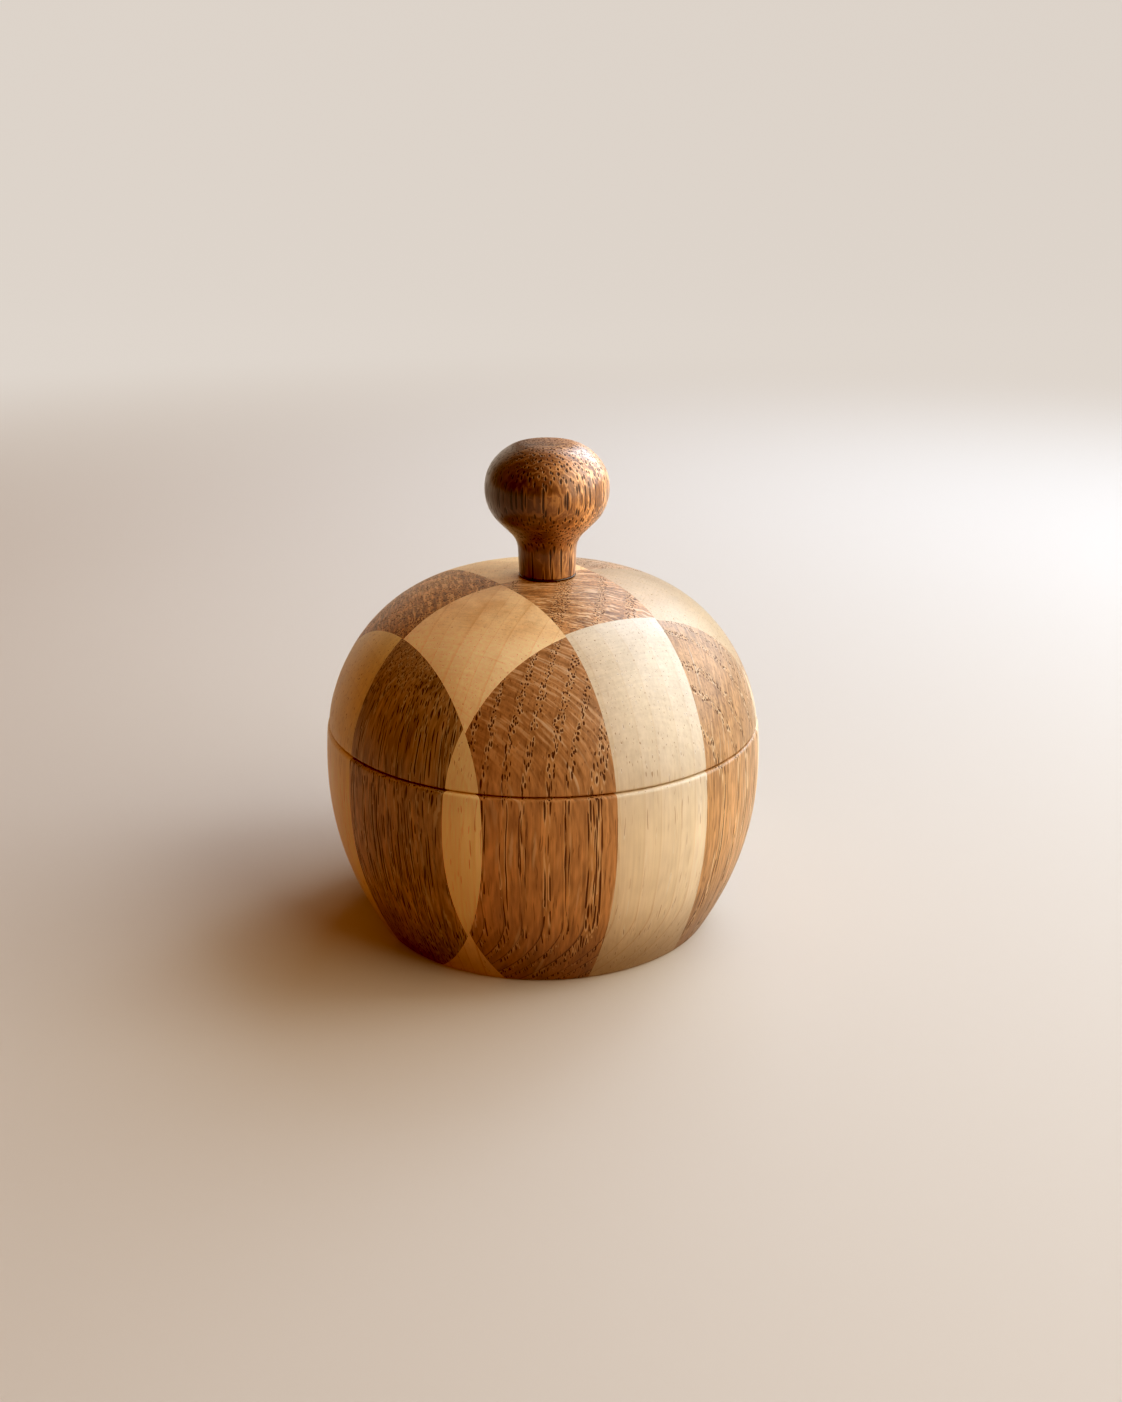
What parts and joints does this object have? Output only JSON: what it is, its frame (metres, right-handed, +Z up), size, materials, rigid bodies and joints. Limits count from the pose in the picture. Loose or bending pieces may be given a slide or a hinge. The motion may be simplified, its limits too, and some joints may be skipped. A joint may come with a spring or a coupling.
{
  "type": "salt cellar",
  "caption": "Round turned wooden jar for salt, glued up from staves of two timbers in a chequer, with a lift-off domed lid on a spigot and a turned knob.",
  "frame": {"origin": "on the table, on the jar's turning axis: the middle of the bottom of the bounding box", "axes": "+Z up along the turning axis, from the foot to the knob; X and Y run along the two families of glue joints"},
  "size_m": [0.09, 0.09, 0.1001],
  "materials": {
    "maple": "pale maple, oiled, satin",
    "oak": "brown oak, oiled, satin",
    "knob_oak": "dark brown oak, oiled, satin"
  },
  "bodies": {
    "base": {"base_maple_stave_a1": "maple", "base_oak_stave_a2": "oak", "base_maple_stave_a3": "maple", "base_oak_stave_a4": "oak", "base_oak_stave_b1": "oak", "base_maple_stave_b2": "maple", "base_oak_stave_b3": "oak", "base_maple_stave_b4": "maple", "base_maple_stave_c1": "maple", "base_oak_stave_c2": "oak", "base_maple_stave_c3": "maple", "base_oak_stave_c4": "oak", "base_oak_stave_d1": "oak", "base_maple_stave_d2": "maple", "base_oak_stave_d3": "oak", "base_maple_stave_d4": "maple", "base_maple_stave_e1": "maple", "base_oak_stave_e2": "oak", "base_maple_stave_e3": "maple", "base_oak_stave_e4": "oak"},
    "lid": {"lid_maple_stave_a1": "maple", "lid_oak_stave_a2": "oak", "lid_maple_stave_a3": "maple", "lid_oak_stave_a4": "oak", "lid_oak_stave_b1": "oak", "lid_maple_stave_b2": "maple", "lid_oak_stave_b3": "oak", "lid_maple_stave_b4": "maple", "lid_maple_stave_c1": "maple", "lid_oak_stave_c2": "oak", "lid_maple_stave_c3": "maple", "lid_oak_stave_c4": "oak", "lid_oak_stave_d1": "oak", "lid_maple_stave_d2": "maple", "lid_oak_stave_d3": "oak", "lid_maple_stave_d4": "maple", "lid_maple_stave_e1": "maple", "lid_oak_stave_e2": "oak", "lid_maple_stave_e3": "maple", "lid_oak_stave_e4": "oak", "knob": "knob_oak"}
  },
  "joints": [
    {"name": "lid_lift", "type": "slide", "parent": "base", "child": "lid", "axis": [0, 0, 1], "range_m": [0, 0.06]}
  ]
}
